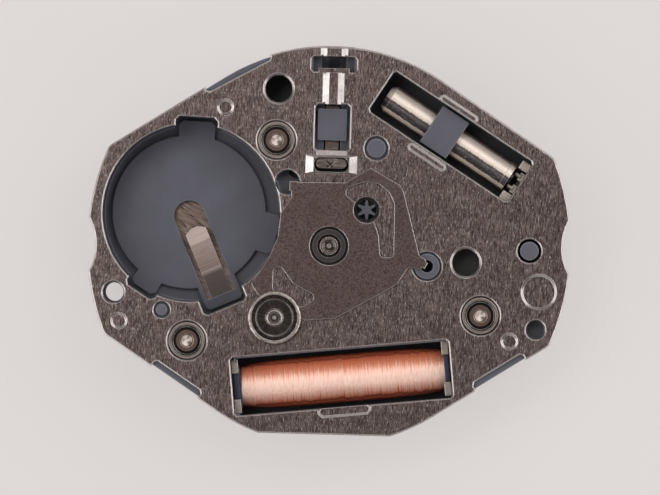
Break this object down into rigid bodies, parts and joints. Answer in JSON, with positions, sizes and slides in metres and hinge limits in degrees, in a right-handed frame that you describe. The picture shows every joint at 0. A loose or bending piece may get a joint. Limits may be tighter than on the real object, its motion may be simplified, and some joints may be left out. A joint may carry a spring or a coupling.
{
  "type": "quartz watch movement",
  "caption": "Oval analogue quartz watch movement with stamped metal cover, cell well, copper coil, crystal, gear train, stem works and hand arbors.",
  "frame": {"origin": "hand axis, on the face that the dial rests on", "axes": "+Z to the back of the movement, where the cell goes in, +Y out along the stem, +X towards the end away from the cell"},
  "size_m": [0.0188, 0.0152, 0.0047],
  "materials": {
    "nickel_plate": "fine diagonal brushing",
    "grey_plastic": "fine matt moulding",
    "cover_steel": "brushed, dark brownish grey",
    "train_cover_steel": "fine matt blast",
    "turned_nickel": "turned, bright",
    "dark_bearing": "turned, dark",
    "brass_tube": "drawn",
    "spring_nickel": "rolled, bright",
    "crystal_can": "bright, lightly drawn",
    "black_glass": "gloss",
    "tinned_wire": "bright",
    "circuit_board": "dark laminate",
    "soft_iron": "stamped",
    "blue_plastic": "moulded",
    "copper_wire": "enamelled copper",
    "magnet": "ground",
    "white_plastic": "moulded",
    "dark_plastic": "moulded",
    "brass_wheel": "stamped and polished",
    "steel_arbor": "turned, bright",
    "lever_steel": "stamped, dark polished"
  },
  "bodies": {
    "movement_base": {"dial_side_plate": "nickel_plate", "main_plate": "grey_plastic", "cover_plate": "cover_steel", "train_cover": "train_cover_steel", "pillars": "turned_nickel", "headed_pin": "turned_nickel", "train_bridge": "grey_plastic", "centre_bearing": "dark_bearing", "centre_bridge": "nickel_plate", "centre_tube": "brass_tube", "battery_contact": "spring_nickel", "crystal_can": "crystal_can", "crystal_seal": "black_glass", "crystal_leads": "tinned_wire", "circuit_board": "circuit_board", "circuit_chip": "black_glass", "stator": "soft_iron", "coil_core": "soft_iron", "coil_flanges": "blue_plastic", "coil_winding": "copper_wire", "wheel_posts": "turned_nickel", "lever_posts": "turned_nickel"},
    "rotor": {"rotor_magnet": "magnet", "rotor_pinion": "white_plastic"},
    "fifth": {"fifth_wheel": "dark_plastic"},
    "second": {"second_wheel": "brass_wheel", "second_arbor": "steel_arbor"},
    "third": {"third_wheel": "brass_wheel"},
    "centre": {"centre_wheel": "brass_wheel"},
    "cannon": {"cannon_pinion": "brass_wheel"},
    "minute": {"minute_wheel": "brass_wheel"},
    "hour": {"hour_wheel": "brass_wheel"},
    "setting": {"setting_wheel": "steel_arbor"},
    "clutch": {"clutch_wheel": "steel_arbor"},
    "yoke_lever": {"yoke": "spring_nickel"},
    "stop": {"stop_lever": "spring_nickel"},
    "detent": {"setting_lever": "lever_steel"}
  },
  "joints": [
    {"name": "rotor_spin", "type": "hinge", "parent": "movement_base", "child": "rotor", "pos_m": [0.00268, 0.00072, 0.00105], "axis": [0, 0, 1], "continuous": true},
    {"name": "fifth_wheel_spin", "type": "hinge", "parent": "movement_base", "child": "fifth", "pos_m": [0.00143, 0.00144, 0.0021], "axis": [0, 0, 1], "continuous": true},
    {"name": "second_wheel_spin", "type": "hinge", "parent": "movement_base", "child": "second", "pos_m": [0, 0, 0.0019], "axis": [0, 0, 1], "continuous": true},
    {"name": "third_wheel_spin", "type": "hinge", "parent": "movement_base", "child": "third", "pos_m": [0.00017, -0.00199, 0.0017], "axis": [0, 0, 1], "continuous": true},
    {"name": "centre_wheel_spin", "type": "hinge", "parent": "movement_base", "child": "centre", "pos_m": [0, 0, 0.0013], "axis": [0, 0, 1], "continuous": true},
    {"name": "cannon_spin", "type": "hinge", "parent": "movement_base", "child": "cannon", "pos_m": [0, 0, 0], "axis": [0, 0, 1], "continuous": true},
    {"name": "minute_wheel_spin", "type": "hinge", "parent": "movement_base", "child": "minute", "pos_m": [0.00096, 0.00175, 0.0005], "axis": [0, 0, 1], "continuous": true},
    {"name": "hour_wheel_spin", "type": "hinge", "parent": "movement_base", "child": "hour", "pos_m": [0, 0, 0.0002], "axis": [0, 0, 1], "continuous": true},
    {"name": "setting_wheel_spin", "type": "hinge", "parent": "movement_base", "child": "setting", "pos_m": [0, 0.0036, 0.0007], "axis": [0, 0, 1], "continuous": true},
    {"name": "clutch_slide", "type": "slide", "parent": "movement_base", "child": "clutch", "axis": [0, 1, 0], "range_m": [-0.00028, 0]},
    {"name": "yoke_turn", "type": "hinge", "parent": "movement_base", "child": "yoke_lever", "pos_m": [-0.00145, 0.00496, 0.00145], "axis": [0, 0, 1], "range_deg": [-15.7, 0]},
    {"name": "stop_lever_turn", "type": "hinge", "parent": "movement_base", "child": "stop", "pos_m": [-0.00125, 0.00305, 0.00193], "axis": [0, 0, 1], "range_deg": [-2.7, 0]},
    {"name": "setting_lever_press", "type": "hinge", "parent": "movement_base", "child": "detent", "pos_m": [0, 0.0043, 0.00218], "axis": [1, 0, 0], "range_deg": [0, 8], "stiffness_Nm_per_rad": 0.0000001, "springref_deg": -28.65}
  ],
  "couplings": [
    {"joint": "fifth_wheel_spin", "follows": "rotor_spin", "ratio": -0.2},
    {"joint": "second_wheel_spin", "follows": "rotor_spin", "ratio": 0.033333},
    {"joint": "third_wheel_spin", "follows": "rotor_spin", "ratio": -0.0041667},
    {"joint": "centre_wheel_spin", "follows": "rotor_spin", "ratio": 0.00055556},
    {"joint": "minute_wheel_spin", "follows": "cannon_spin", "ratio": -0.33333},
    {"joint": "hour_wheel_spin", "follows": "cannon_spin", "ratio": 0.083333},
    {"joint": "setting_wheel_spin", "follows": "cannon_spin", "ratio": 0.85714},
    {"joint": "yoke_turn", "follows": "clutch_slide", "rad_per_m": 970.87},
    {"joint": "stop_lever_turn", "follows": "clutch_slide", "rad_per_m": 162.07}
  ]
}
